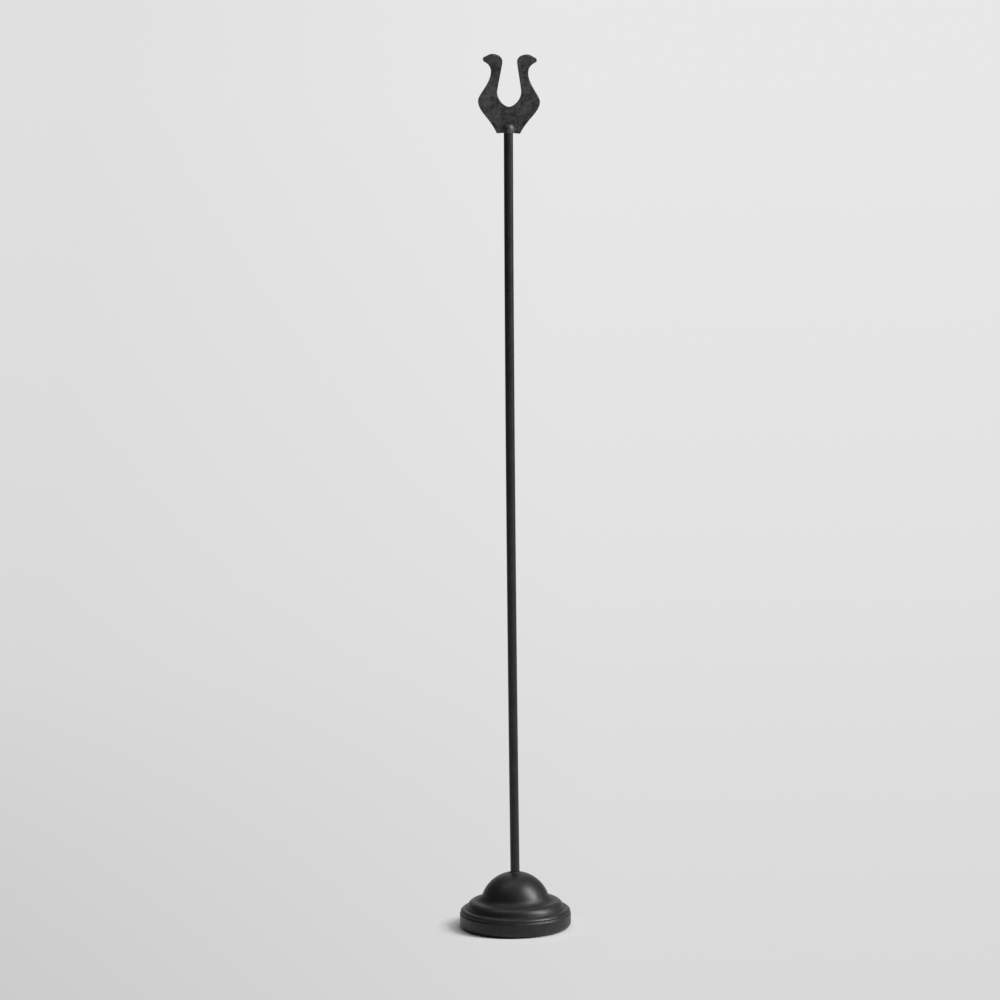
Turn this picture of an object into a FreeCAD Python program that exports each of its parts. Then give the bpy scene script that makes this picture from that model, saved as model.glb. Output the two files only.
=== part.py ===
import FreeCAD, Part
import math
import os
from FreeCAD import Rotation, Vector

# A table number stand: a stepped round base with a domed cover over a cast slug, a tall
# thin rod, and a lyre-shaped clip of two stamped leaves that pinch a card between them.
# Millimetres. +Z is up, the origin is the centre of the underside, and the front, where
# a card is read, faces -Y.

# Driving dimensions: the whole stand, whose height is clip_foot + crown_height, 457.2
base_diameter = 58.0
rod_diameter = 4.76
clip_foot = 416.7

# Driving dimensions: outer moulding of the base, from the table upwards
rim_lift = 0.4
rim_round = 2.1
groove_height = 8.2
groove_depth = 0.7
bead_rise = 2.1
bead_round = 2.5
bead_set_back = 2.65
crease_round = 0.3
shoulder_rise = 4.2
shoulder_round = 4.45
shoulder_set_back = 3.75
cove_round = 4.6
dome_round = 18.35
dome_height = 29.3

# Driving dimensions: what is behind the cover
cover_sheet = 0.9
inside_chord_rise = 0.12
rim_lip_width = 2.4
rod_hole_clearance = 0.1
slug_clearance = 0.3
slug_dome_steps = [35.0, 60.0]
rod_shoulder_height = 16.0
thread_diameter = 4.0
thread_chamfer = 0.5
thread_clearance = 0.25
thread_fit = 0.02
recess_diameter = 14.0
recess_spare = 1.0
thread_past_nut = 1.2
nut_height = 3.2
nut_across_flats = 7.0
nut_chamfer_angle = 30.0
washer_diameter = 9.0
washer_bore_diameter = 4.3
washer_thickness = 0.8
pad_clearance = 0.3
pad_edge_chamfer = 0.3

# Driving dimensions: outline of the clip, heights above its feet, widths from its middle
foot_half_width = 6.0
foot_arch = 0.5
foot_corner_round = 0.5
flank_angle = 23.5
hip_half_width = 15.85
hip_height = 16.6
neck_half_width = 9.55
neck_height = 31.4
beak_reach = 13.8
beak_height = 37.9
beak_round = 1.1
beak_under_angle = -57.5
beak_top_angle = 69.0
crown_half_width = 8.9
crown_height = 40.5
mouth_half_width = 3.75
mouth_height = 36.8
pocket_half_width = 6.15
pocket_height = 21.45
gap_floor_height = 13.7

# Driving dimensions: sheet of the clip and its channel for the rod
leaf_sheet = 1.0
card_slot = 0.4
joggle_length = 2.5
lead_in_radius = 25.0
channel_wall = 0.6
channel_length = 2.3
channel_root_round = 0.5
rod_fit = 0.02
rod_top_chamfer = 0.4
clip_lean = 1.6

# Sizes that follow from the driving dimensions
base_radius = base_diameter / 2
rod_radius = rod_diameter / 2
thread_radius = thread_diameter / 2
rod_top = clip_foot + channel_length
slug_floor = rim_lift + cover_sheet
rod_end = slug_floor + recess_spare
nut_floor = rod_end + thread_past_nut
washer_floor = nut_floor + nut_height
recess_ceiling = washer_floor + washer_thickness
rim_centre = Vector(base_radius - rim_round, 0, rim_lift + rim_round)
lip_radius = rim_centre.x - rim_lip_width
bead_height = groove_height + bead_rise
bead_centre = Vector(base_radius - bead_set_back, 0, bead_height - bead_round)
shoulder_height = bead_height + shoulder_rise
shoulder_centre = Vector(
    base_radius - shoulder_set_back - shoulder_round, 0, shoulder_height - shoulder_round
)
dome_centre = Vector(0, 0, dome_height - dome_round)

UP = Vector(0, 0, 1)
ORIGIN = Vector(0, 0, 0)
PAST = 1.0


def line(start, end):
    """Straight edge."""
    return Part.makeLine(start, end)


def polygon(corners):
    """Closed chain of straight edges."""
    return [line(a, b) for a, b in zip(corners, corners[1:] + corners[:1])]


def polar(angle, length):
    """Offset in the XZ plane, angle in degrees from +X towards +Z."""
    return Vector(length * math.cos(math.radians(angle)), 0, length * math.sin(math.radians(angle)))


def arc(centre, start, end, rising):
    """Arc about centre in the XZ plane, turning from +X to +Z if it is rising."""
    radius = (start - centre).Length
    first = math.atan2(start.z - centre.z, start.x - centre.x)
    last = math.atan2(end.z - centre.z, end.x - centre.x)
    if rising and last < first:
        last += 2 * math.pi
    if not rising and last > first:
        last -= 2 * math.pi
    middle = (first + last) / 2
    through = centre + Vector(radius * math.cos(middle), 0, radius * math.sin(middle))
    return Part.Arc(start, through, end).toShape()


def upper_crossing(centre_a, radius_a, centre_b, radius_b):
    """The higher of the two points where two circles in the XZ plane cross."""
    between = centre_b - centre_a
    distance = between.Length
    along = (distance ** 2 + radius_a ** 2 - radius_b ** 2) / (2 * distance)
    across = math.sqrt(radius_a ** 2 - along ** 2)
    unit = between / distance
    side = Vector(-unit.z, 0, unit.x)
    foot = centre_a + unit * along
    crossings = [foot + side * across, foot - side * across]
    return max(crossings, key=lambda crossing: crossing.z)


def turned(edges):
    """Solid of revolution about Z from a closed chain of edges."""
    return Part.Face(Part.Wire(edges)).revolve(ORIGIN, UP, 360)


def bored(solid, radius, low, high):
    """The solid with a straight round hole on the Z axis."""
    return solid.cut(Part.makeCylinder(radius, high - low, Vector(0, 0, low)))


def line_meets_circle(start, direction, centre, radius):
    """The point where a ray, from inside a circle in the XZ plane, leaves it."""
    offset = start - centre
    along = offset.dot(direction)
    return start + direction * (math.sqrt(along ** 2 - offset.dot(offset) + radius ** 2) - along)


def towards(start, end, length):
    """The point at a length from start on the way to end."""
    return start + (end - start).normalize() * length


# The small round in the crease touches bead and shoulder, and the cove touches shoulder and dome
crease_centre = upper_crossing(
    bead_centre, bead_round + crease_round, shoulder_centre, shoulder_round + crease_round
)
cove_centre = upper_crossing(
    shoulder_centre, shoulder_round + cove_round, dome_centre, dome_round + cove_round
)


def moulding(inset, end_radius):
    """Profile of the base from the top of its rim to the dome, moved inwards by inset.

    Band, groove, bead, crease, shoulder, cove and dome: a convex arc loses the
    inset from its radius and a hollow one gains it, so every arc keeps its centre. The
    groove's flanks slope at 45 degrees, so its floor moves in by the diagonal of the inset.
    """
    wall = base_radius - inset
    groove_floor = Vector(base_radius - groove_depth - inset * math.sqrt(2), 0, groove_height)
    flank_up = Vector(1, 0, 1).normalize()
    bead_radius = bead_round - inset
    crease_radius = crease_round + inset
    shoulder_radius = shoulder_round - inset
    cove_radius = cove_round + inset
    dome_radius = dome_round - inset
    band_start = Vector(wall, 0, rim_centre.z)
    band_end = Vector(wall, 0, groove_height - (wall - groove_floor.x))
    bead_start = line_meets_circle(groove_floor, flank_up, bead_centre, bead_radius)
    crease_start = towards(crease_centre, bead_centre, crease_radius)
    crease_end = towards(crease_centre, shoulder_centre, crease_radius)
    cove_start = towards(cove_centre, shoulder_centre, cove_radius)
    cove_end = towards(cove_centre, dome_centre, cove_radius)
    dome_end = Vector(end_radius, 0, dome_centre.z + math.sqrt(dome_radius ** 2 - end_radius ** 2))
    return [
        line(band_start, band_end),
        line(band_end, groove_floor),
        line(groove_floor, bead_start),
        arc(bead_centre, bead_start, crease_start, rising=True),
        arc(crease_centre, crease_start, crease_end, rising=False),
        arc(shoulder_centre, crease_end, cove_start, rising=True),
        arc(cove_centre, cove_start, cove_end, rising=False),
        arc(dome_centre, cove_end, dome_end, rising=True),
    ]


def rim(inset):
    """Turned-in lip and rounded rim of the cover, moved inwards by inset."""
    radius = rim_round - inset
    lip_end = Vector(lip_radius, 0, rim_lift + inset)
    rim_start = rim_centre - UP * radius
    rim_end = rim_centre + Vector(radius, 0, 0)
    return [line(lip_end, rim_start), arc(rim_centre, rim_start, rim_end, rising=True)]


def first_point(edges):
    return edges[0].firstVertex().Point


def last_point(edges):
    return edges[-1].lastVertex().Point


def in_chords(edges, largest_rise):
    """The chain with its arcs cut into chords that stay within largest_rise of the arc.

    Turned round, such a chord is one plain cone, so the hidden side of the cover stays light.
    """
    points = [first_point(edges)]
    for edge in edges:
        chords = 1
        if edge.Curve.TypeId == "Part::GeomCircle":
            radius = edge.Curve.Radius
            widest_turn = 2 * math.acos(1 - largest_rise / radius)
            chords = math.ceil(edge.Length / radius / widest_turn)
        points += edge.discretize(chords + 1)[1:]
    return [line(a, b) for a, b in zip(points, points[1:])]


def make_base_shell():
    """Pressed cover: one sheet from the turned-in lip over the dome to the rod's hole."""
    hole = rod_radius + rod_hole_clearance
    outside = rim(0) + moulding(0, hole)
    inside = in_chords(rim(cover_sheet) + moulding(cover_sheet, hole), inside_chord_rise)
    closing = line(last_point(outside), last_point(inside))
    opening = line(first_point(inside), first_point(outside))
    return turned(outside + [closing] + inside[::-1] + [opening])


def make_base_weight():
    """Cast slug with plain steps that clear the cover, bored for the rod and its nut.

    Its corners lie on the cover's arcs, moved in by the sheet and the clearance, and the
    straight flanks between them stay inside those arcs.
    """
    inset = cover_sheet + slug_clearance
    wall = base_radius - inset
    shoulder_radius = shoulder_round - inset
    dome_radius = dome_round - inset
    band_top = groove_height - groove_depth - inset
    crease_reach = crease_round + inset
    crease_side = towards(crease_centre, shoulder_centre, crease_reach)
    ledge = shoulder_height - inset
    neck = cove_centre.x - cove_round - inset - slug_clearance
    dome_corners = [dome_centre + polar(step, dome_radius) for step in slug_dome_steps]
    corners = [
        Vector(0, 0, slug_floor),
        Vector(rim_centre.x, 0, slug_floor),
        Vector(wall, 0, rim_centre.z),
        Vector(wall, 0, band_top),
        Vector(crease_side.x, 0, crease_centre.z - crease_reach),
        crease_side,
        shoulder_centre + polar(45, shoulder_radius),
        Vector(shoulder_centre.x, 0, ledge),
        Vector(neck, 0, ledge),
        Vector(neck, 0, dome_centre.z + math.sqrt(dome_radius ** 2 - neck ** 2)),
    ] + dome_corners
    corners.append(Vector(0, 0, dome_corners[-1].z))
    slug = turned(polygon(corners))
    slug = bored(slug, thread_radius + thread_clearance, slug_floor, rod_shoulder_height)
    slug = bored(slug, rod_radius + rod_hole_clearance, rod_shoulder_height, dome_height)
    return bored(slug, recess_diameter / 2, slug_floor - PAST, recess_ceiling)


def make_rod():
    """Straight rod with a reduced, threaded lower end and a chamfered top."""
    corners = [
        Vector(0, 0, rod_end),
        Vector(thread_radius - thread_chamfer, 0, rod_end),
        Vector(thread_radius, 0, rod_end + thread_chamfer),
        Vector(thread_radius, 0, rod_shoulder_height),
        Vector(rod_radius, 0, rod_shoulder_height),
        Vector(rod_radius, 0, rod_top - rod_top_chamfer),
        Vector(rod_radius - rod_top_chamfer, 0, rod_top),
        Vector(0, 0, rod_top),
    ]
    return turned(polygon(corners))


def make_rod_washer():
    """Plain washer under the roof of the slug's recess."""
    disc = Part.makeCylinder(washer_diameter / 2, washer_thickness, Vector(0, 0, washer_floor))
    return bored(disc, washer_bore_diameter / 2, washer_floor, recess_ceiling)


def make_rod_nut():
    """Hexagon nut with both faces chamfered."""
    corner_radius = nut_across_flats / 2 / math.cos(math.radians(30))
    corners = [
        Vector(corner_radius * math.cos(turn), corner_radius * math.sin(turn), nut_floor)
        for turn in (math.radians(60 * count) for count in range(7))
    ]
    hexagon = Part.Face(Part.makePolygon(corners)).extrude(UP * nut_height)
    flat_radius = nut_across_flats / 2
    slope = math.tan(math.radians(nut_chamfer_angle))
    drop = (corner_radius - flat_radius + PAST) * slope
    outer = flat_radius + drop / slope
    chamfered = [
        Vector(0, 0, nut_floor),
        Vector(flat_radius, 0, nut_floor),
        Vector(outer, 0, nut_floor + drop),
        Vector(outer, 0, washer_floor - drop),
        Vector(flat_radius, 0, washer_floor),
        Vector(0, 0, washer_floor),
    ]
    envelope = turned(polygon(chamfered))
    return bored(hexagon.common(envelope), thread_radius + thread_fit, nut_floor, washer_floor)


def make_foot_pad():
    """Round pad inside the turned-in lip, a little proud of it, on which the stand rests."""
    radius = lip_radius - pad_clearance
    disc = Part.makeCylinder(radius, slug_floor)
    lower_edge = [edge for edge in disc.Edges if edge.CenterOfMass.z < slug_floor / 4]
    return disc.makeChamfer(pad_edge_chamfer, lower_edge)


def curve(start, start_pull, end_pull, end):
    """Bezier edge from start to end; each pull is the handle's offset from its own end."""
    bezier = Part.BezierCurve()
    bezier.setPoles([start, start + start_pull, end + end_pull, end])
    return bezier.toShape()


def lyre_half_outline():
    """Right half of the clip's outline, from the middle of its foot to the floor of its gap."""
    foot_middle = Vector(0, 0, foot_arch)
    foot = Vector(foot_half_width, 0, 0)
    hip = Vector(hip_half_width, 0, hip_height)
    neck = Vector(neck_half_width, 0, neck_height)
    beak_centre = Vector(beak_reach - beak_round, 0, beak_height)
    beak_under = beak_centre + polar(beak_under_angle, beak_round)
    beak_top = beak_centre + polar(beak_top_angle, beak_round)
    crown = Vector(crown_half_width, 0, crown_height)
    mouth = Vector(mouth_half_width, 0, mouth_height)
    pocket = Vector(pocket_half_width, 0, pocket_height)
    gap_floor = Vector(0, 0, gap_floor_height)

    flank_rise = hip_height / 2
    hip_rise = hip_height / 3
    neck_rise = (neck_height - hip_height) / 5
    neck_drop = (neck_height - hip_height) * 0.4
    beak_rise = (beak_height - neck_height) * 0.55
    beak_run = (beak_reach - neck_half_width) * 0.4
    crown_run = (beak_reach - crown_half_width) * 0.35
    mouth_run = (crown_half_width - mouth_half_width) / 2
    mouth_rise = (crown_height - mouth_height) * 0.65
    arm_pull = (mouth_height - pocket_height) * 0.1
    pocket_drop = (pocket_height - gap_floor_height) * 0.57
    floor_run = pocket_half_width * 0.37
    return [
        line(foot_middle, foot),
        curve(foot, polar(90 - flank_angle, flank_rise), UP * -hip_rise, hip),
        curve(hip, UP * neck_rise, UP * -neck_drop, neck),
        curve(neck, UP * beak_rise, polar(beak_under_angle - 90, beak_run), beak_under),
        arc(beak_centre, beak_under, beak_top, rising=True),
        curve(beak_top, polar(beak_top_angle + 90, crown_run), Vector(crown_run, 0, 0), crown),
        curve(crown, Vector(-mouth_run, 0, 0), UP * mouth_rise, mouth),
        curve(mouth, UP * -arm_pull, UP * arm_pull, pocket),
        curve(pocket, UP * -pocket_drop, Vector(floor_run, 0, 0), gap_floor),
    ]


def half_blank():
    """Right half of the clip's outline, as a block from the middle plane to past the front."""
    half = lyre_half_outline()
    closing = line(last_point(half), first_point(half))
    depth = leaf_sheet + card_slot + lead_in_radius
    blank = Part.Face(Part.Wire(half + [closing])).extrude(Vector(0, -depth, 0))
    foot = Part.Vertex(foot_half_width, -depth / 2, 0)
    corners = [edge for edge in blank.Edges if edge.distToShape(foot)[0] < PAST / 100]
    return blank.makeFillet(foot_corner_round, corners)


def bent_side(depth):
    """One side of the bent sheet, seen from the clip's edge, depth behind its slot side.

    The sheet lies on the middle plane up to the floor of the gap, steps back by half the
    card slot, runs straight to the neck and curls outwards there as a lead-in.
    """
    step_start = Vector(0, -depth, gap_floor_height)
    step_end = Vector(0, -depth - card_slot / 2, gap_floor_height + joggle_length)
    curl_start = Vector(0, step_end.y, neck_height)
    curl_radius = lead_in_radius - depth
    curl_reach = crown_height + PAST - neck_height

    def curl_point(rise):
        return curl_start + Vector(0, math.sqrt(curl_radius ** 2 - rise ** 2) - curl_radius, rise)

    step_pull = UP * (joggle_length / 2)
    return [
        line(Vector(0, -depth, -PAST), step_start),
        curve(step_start, step_pull, step_pull * -1, step_end),
        line(step_end, curl_start),
        Part.Arc(curl_start, curl_point(curl_reach / 2), curl_point(curl_reach)).toShape(),
    ]


def bent_strip():
    """The bent sheet, wider than half of the clip."""
    slot_side = bent_side(0)
    outer_side = bent_side(leaf_sheet)
    top = line(last_point(slot_side), last_point(outer_side))
    bottom = line(first_point(outer_side), first_point(slot_side))
    section = Part.Face(Part.Wire(slot_side + [top] + outer_side[::-1] + [bottom]))
    return section.extrude(Vector(hip_half_width + PAST, 0, 0))


def rod_channel():
    """Half-round bulge over the end of the rod, closed by a quarter ball at its top."""
    radius = rod_radius + channel_wall
    tube = Part.makeCylinder(radius, channel_length - foot_arch, Vector(0, 0, foot_arch))
    ball = Part.makeSphere(radius, Vector(0, 0, channel_length))
    front = Part.makeBox(2 * radius, radius, channel_length + radius, Vector(-radius, -radius, foot_arch))
    return tube.fuse(ball).common(front).removeSplitter()


def make_clip_leaf():
    """One stamped leaf, upright on the origin, with the middle plane of the clip at its back."""
    half = half_blank().common(bent_strip())
    sheet = half.fuse(half.mirror(ORIGIN, Vector(1, 0, 0)))
    leaf = sheet.fuse(rod_channel()).removeSplitter()
    channel_top = channel_length + rod_radius + channel_wall
    roots = [
        edge
        for edge in leaf.Edges
        if abs(edge.BoundBox.YMin + leaf_sheet) < PAST / 100
        and abs(edge.BoundBox.YMax + leaf_sheet) < PAST / 100
        and edge.BoundBox.ZMax < channel_top
        and edge.BoundBox.ZLength > foot_arch
    ]
    return leaf.makeFillet(channel_root_round, roots)


def place_clip_leaf(leaf, turn):
    """Turn a leaf about the rod, set it on the rod with the clip's lean and bore it for the rod."""
    placed = leaf.copy()
    placed.rotate(ORIGIN, UP, turn)
    placed.rotate(ORIGIN, Vector(0, 1, 0), clip_lean)
    placed.translate(UP * clip_foot)
    socket = Part.makeCylinder(rod_radius + rod_fit, channel_length + PAST, UP * (clip_foot - PAST))
    hollow = Part.makeSphere(rod_radius + rod_fit, UP * rod_top)
    return placed.cut(socket.fuse(hollow))


leaf = make_clip_leaf()
pieces = {
    "base_shell": make_base_shell(),
    "base_weight": make_base_weight(),
    "rod": make_rod(),
    "rod_washer": make_rod_washer(),
    "rod_nut": make_rod_nut(),
    "foot_pad": make_foot_pad(),
    "clip_front_leaf": place_clip_leaf(leaf, 0),
    "clip_rear_leaf": place_clip_leaf(leaf, 180),
}

os.makedirs("parts", exist_ok=True)
for name, shape in pieces.items():
    shape.exportStep("parts/" + name + ".step")
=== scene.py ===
import math

import bmesh
import bpy
import numpy as np
from mathutils import Matrix


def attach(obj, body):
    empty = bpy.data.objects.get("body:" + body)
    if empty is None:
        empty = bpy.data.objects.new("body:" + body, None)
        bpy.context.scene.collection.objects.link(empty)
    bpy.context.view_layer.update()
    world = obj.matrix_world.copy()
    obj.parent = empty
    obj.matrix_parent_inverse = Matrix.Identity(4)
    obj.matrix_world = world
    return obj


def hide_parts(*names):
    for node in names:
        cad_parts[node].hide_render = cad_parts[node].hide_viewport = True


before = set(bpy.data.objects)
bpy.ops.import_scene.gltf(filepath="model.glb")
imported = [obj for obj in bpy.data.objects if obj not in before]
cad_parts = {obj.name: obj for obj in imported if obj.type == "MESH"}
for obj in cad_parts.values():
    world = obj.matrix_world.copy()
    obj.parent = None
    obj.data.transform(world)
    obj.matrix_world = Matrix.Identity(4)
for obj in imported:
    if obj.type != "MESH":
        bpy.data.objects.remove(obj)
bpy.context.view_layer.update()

# A satin black table number stand: stepped round base, tall thin rod and a lyre-shaped
# clip of two stamped leaves. Shapes are worked out in millimetres, in the frame of the
# CAD model, and go into the meshes in metres.
MM = 0.001

# Camera, fitted to the photograph
camera_distance = 3.4553
camera_height = 0.8273
camera_azimuth = -0.714
camera_pan = -0.1001
camera_tilt = 9.868
camera_roll = -0.5336
focal_in_pixels = 6785.9
image_pixels = 1000
sensor_width = 36.0

# Light: a box has azimuth to the right of the camera, elevation, distance, width, height, power
key_box = (72, 34.5, 1.9, 0.6, 1.6, 55)
top_box = (-90, 80, 1.6, 0.45, 1.4, 4.8)
lamp_target = (0, 0, 0.1)
room_strength = 0.06

# Paper, in metres and in shares of white; its run is depth plus height, as along the sweep
# The paper's far tones are a glow of painted light, with painted shade to the left and painted reflections
# that fade to the sides
paper_colour = (0.72, 0.72, 0.715, 1)
paper_painted_tones = (0.695, 0.805)
paper_tone_run = (-0.2, 1.9)
paper_painted_shade_shares = (0.84, 0.925)
paper_left_run = (-0.2, 0.7)
paper_left_reach = (-0.3, 0.05)
paper_side_fade = (0.4, 1.2)
paper_painted_reflection_loss = 0.8
shadow_reach = (0.029, 0.042)

# Base, from the table upwards; its radius is a hair under 29, to lie within the CAD facets
base_radius = 28.99
rim_lift = 0.4
rim_round = 2.1
rim_lip_width = 2.4
groove_height = 8.2
groove_depth = 0.7
bead_rise = 2.1
bead_round = 2.5
bead_set_back = 2.65
crease_round = 0.3
shoulder_rise = 4.2
shoulder_round = 4.45
shoulder_set_back = 3.75
cove_round = 4.6
dome_round = 18.35
dome_height = 29.3
cover_sheet = 0.9
rod_hole_clearance = 0.1
coat_softening = 0.7
coat_dull_reach = 0.7
coat_fillet = 0.6
coat_fillet_height = 0.75
coat_fillet_lift = 0.05
coat_fillet_pulls = (0.7, 0.6)
sharpest_bend = 1.6
hollow_gain = 3

# Rod, nut and pad
rod_radius = 2.38
rod_end = 2.3
rod_shoulder_height = 16.0
rod_top_chamfer = 0.4
rod_bow = 0.5
thread_radius = 2.0
thread_pitch = 0.7
thread_depth = 0.38
thread_run_out = 1.0
thread_chamfer = 0.5
thread_fit = 0.02
nut_floor = 3.5
nut_height = 3.2
nut_across_flats = 7.0
nut_chamfer_slope = math.tan(math.radians(30))
nut_countersink = 0.35
nut_thread_share = 0.03
pad_radius = 24.2
pad_thickness = 1.3
pad_edge_round = 0.35
pad_ripple = 0.03
pad_ripple_waves = (0.9, 1.1)
pad_ripple_start = 1.0
pad_ripple_fade = 4.0
pad_plain_rim = 1.0

# Clip, heights above its feet and widths from its middle; its crown is a hair under 40.5, to
# lie within the CAD model
clip_foot = 416.7
clip_lean = 1.6
foot_half_width = 6.0
foot_arch = 0.5
foot_corner_round = 0.5
flank_angle = 23.5
hip_half_width = 15.85
hip_height = 16.6
neck_half_width = 9.55
neck_height = 31.4
beak_reach = 13.8
beak_height = 37.9
beak_round = 1.1
beak_under_angle = -57.5
beak_top_angle = 69.0
crown_half_width = 8.9
crown_height = 40.495
mouth_half_width = 3.75
mouth_height = 36.8
pocket_half_width = 6.15
pocket_height = 21.45
gap_floor_height = 13.7
leaf_sheet = 1.0
leaf_edge_round = 0.28
card_slot = 0.4
joggle_length = 2.5
lead_in_radius = 25.0
channel_length = 2.3
channel_wall = 0.6
channel_root_blend = 0.35
channel_seat_blend = 0.02
rod_fit = 0.02
channel_outer_radius = rod_radius + channel_wall
channel_inner_radius = rod_radius + rod_fit
rod_top = clip_foot + channel_length

# Handles of the lyre's curves, as shares of the width or height that each curve spans
crown_pull = 0.35
throat_pulls = (0.4, 0.55)
hip_pulls = (0.4, 0.2)
flank_pulls = (1 / 3, 1 / 2)
corner_pull = 2 / 3
mouth_pulls = (0.5, 0.65)
arm_pull = 0.1
floor_pulls = (0.57, 0.37)

# Points of the lyre's curves: fine ones, then those of each stretch from crown to middle;
# the cuts are the shares of the inner curves where a new stretch starts
fine_count = 200
stretch_counts = [26, 26, 44, 90, 70]
arm_cut = 0.38
floor_cut = 0.55

# Socket numbers of a colour Mix node, whose names repeat for its other types
mix_share = 0
mix_first = 6
mix_second = 7
mix_result = 2


def point(x, z):
    return np.array([x, z], float)


def polar(angle, length):
    """Offset at an angle in degrees from +X towards +Z."""
    return length * np.array([math.cos(math.radians(angle)), math.sin(math.radians(angle))])


def straight(start, end, count):
    """Evenly spaced points of a line."""
    share = np.linspace(0, 1, count)[:, None]
    return start + (end - start) * share


def curve(start, start_pull, end_pull, end, count):
    """Cubic Bezier: each pull is the handle's offset from its own end."""
    t = np.linspace(0, 1, count)[:, None]
    return (
        (1 - t) ** 3 * start
        + 3 * (1 - t) ** 2 * t * (start + start_pull)
        + 3 * (1 - t) * t ** 2 * (end + end_pull)
        + t ** 3 * end
    )


def arc(centre, radius, first, last, count):
    """Circular arc between two angles in degrees."""
    angle = np.radians(np.linspace(first, last, count))
    return centre + radius * np.stack([np.cos(angle), np.sin(angle)], axis=1)


def angle_of(offset):
    """Angle in degrees of an offset from +X towards +Z."""
    return math.degrees(math.atan2(offset[1], offset[0]))


def resampled(path, count):
    """Points at equal distances along a path, by its running length."""
    run = np.concatenate([[0], np.cumsum(np.linalg.norm(np.diff(path, axis=0), axis=1))])
    even = np.linspace(0, run[-1], count)
    return np.stack([np.interp(even, run, path[:, axis]) for axis in range(path.shape[1])], axis=1)


def softened(loop, width, count):
    """A closed path averaged over a window of that width, as a coat of paint rounds corners."""
    finer = 12
    closed = resampled(np.vstack([loop, loop[:1]]), finer * count + 1)[:-1]
    length = np.linalg.norm(np.diff(closed, axis=0), axis=1).sum()
    reach = int(width / length * len(closed) / 2)
    shifts = [np.roll(closed, shift, axis=0) for shift in range(-reach, reach + 1)]
    return np.mean(shifts, axis=0)[::finer]


def quads_of(rows, columns, rows_closed, columns_closed):
    """Corner numbers of the faces of a grid of points, four to a face."""
    i = np.arange(rows if rows_closed else rows - 1)
    j = np.arange(columns if columns_closed else columns - 1)
    i, j = np.meshgrid(i, j, indexing="ij")
    next_i = (i + 1) % rows
    next_j = (j + 1) % columns
    corners = [i * columns + j, i * columns + next_j, next_i * columns + next_j, next_i * columns + j]
    return np.stack([corner.ravel() for corner in corners], axis=1)


def mesh_piece(name, grid, rows_closed=False, columns_closed=False, **marks):
    """A smooth mesh from a grid of points in millimetres, with its doubles merged.

    The grid has a row and a column index. Marks are values for each point that materials
    read by name: edge says how near it is to a worn edge, and hollow to a hollow corner.
    """
    rows, columns, _ = grid.shape
    quads = quads_of(rows, columns, rows_closed, columns_closed)
    mesh = bpy.data.meshes.new(name)
    mesh.vertices.add(rows * columns)
    mesh.vertices.foreach_set("co", (grid * MM).astype(np.float32).ravel())
    mesh.loops.add(quads.size)
    mesh.loops.foreach_set("vertex_index", quads.astype(np.int32).ravel())
    mesh.polygons.add(len(quads))
    mesh.polygons.foreach_set("loop_start", np.arange(0, quads.size, 4, dtype=np.int32))
    mesh.update(calc_edges=True)
    for label, values in marks.items():
        attribute = mesh.attributes.new(label, "FLOAT", "POINT")
        attribute.data.foreach_set("value", values.astype(np.float32).ravel())
    piece = bpy.data.objects.new(name, mesh)
    bpy.context.scene.collection.objects.link(piece)
    return closed_up(piece)


def closed_up(piece):
    """Merges doubled points at seams and poles, turns faces outwards and shades them smooth."""
    doubles_within = 0.002 * MM
    shortest_edge = 0.0002 * MM
    work = bmesh.new()
    work.from_mesh(piece.data)
    bmesh.ops.remove_doubles(work, verts=work.verts, dist=doubles_within)
    bmesh.ops.dissolve_degenerate(work, edges=work.edges, dist=shortest_edge)
    bmesh.ops.recalc_face_normals(work, faces=work.faces)
    for face in work.faces:
        face.smooth = True
    work.to_mesh(piece.data)
    work.free()
    return piece


def around(count):
    """Angles of the columns of a turned grid."""
    return np.linspace(0, 2 * np.pi, count, endpoint=False)


def turned(profile, count):
    """Grid of a profile of radius and height turned about Z: x = r cos a, y = r sin a."""
    turn = around(count)[None, :]
    radius = profile[:, :1]
    height = np.broadcast_to(profile[:, 1:], (len(profile), count))
    return np.stack([radius * np.cos(turn), radius * np.sin(turn), height], axis=2)


# Base cover

bead_height = groove_height + bead_rise
bead_centre = point(base_radius - bead_set_back, bead_height - bead_round)
shoulder_height = bead_height + shoulder_rise
shoulder_centre = point(base_radius - shoulder_set_back - shoulder_round, shoulder_height - shoulder_round)
dome_centre = point(0, dome_height - dome_round)
rim_centre = point(base_radius - rim_round, rim_lift + rim_round)


def upper_crossing(centre_a, radius_a, centre_b, radius_b):
    """The higher of the two points where two circles cross."""
    between = centre_b - centre_a
    distance = np.linalg.norm(between)
    along = (distance ** 2 + radius_a ** 2 - radius_b ** 2) / (2 * distance)
    across = math.sqrt(radius_a ** 2 - along ** 2)
    unit = between / distance
    side = np.array([-unit[1], unit[0]])
    crossings = [centre_a + unit * along + side * across, centre_a + unit * along - side * across]
    return max(crossings, key=lambda crossing: crossing[1])


crease_centre = upper_crossing(
    bead_centre, bead_round + crease_round, shoulder_centre, shoulder_round + crease_round
)
cove_centre = upper_crossing(
    shoulder_centre, shoulder_round + cove_round, dome_centre, dome_round + cove_round
)


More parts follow.
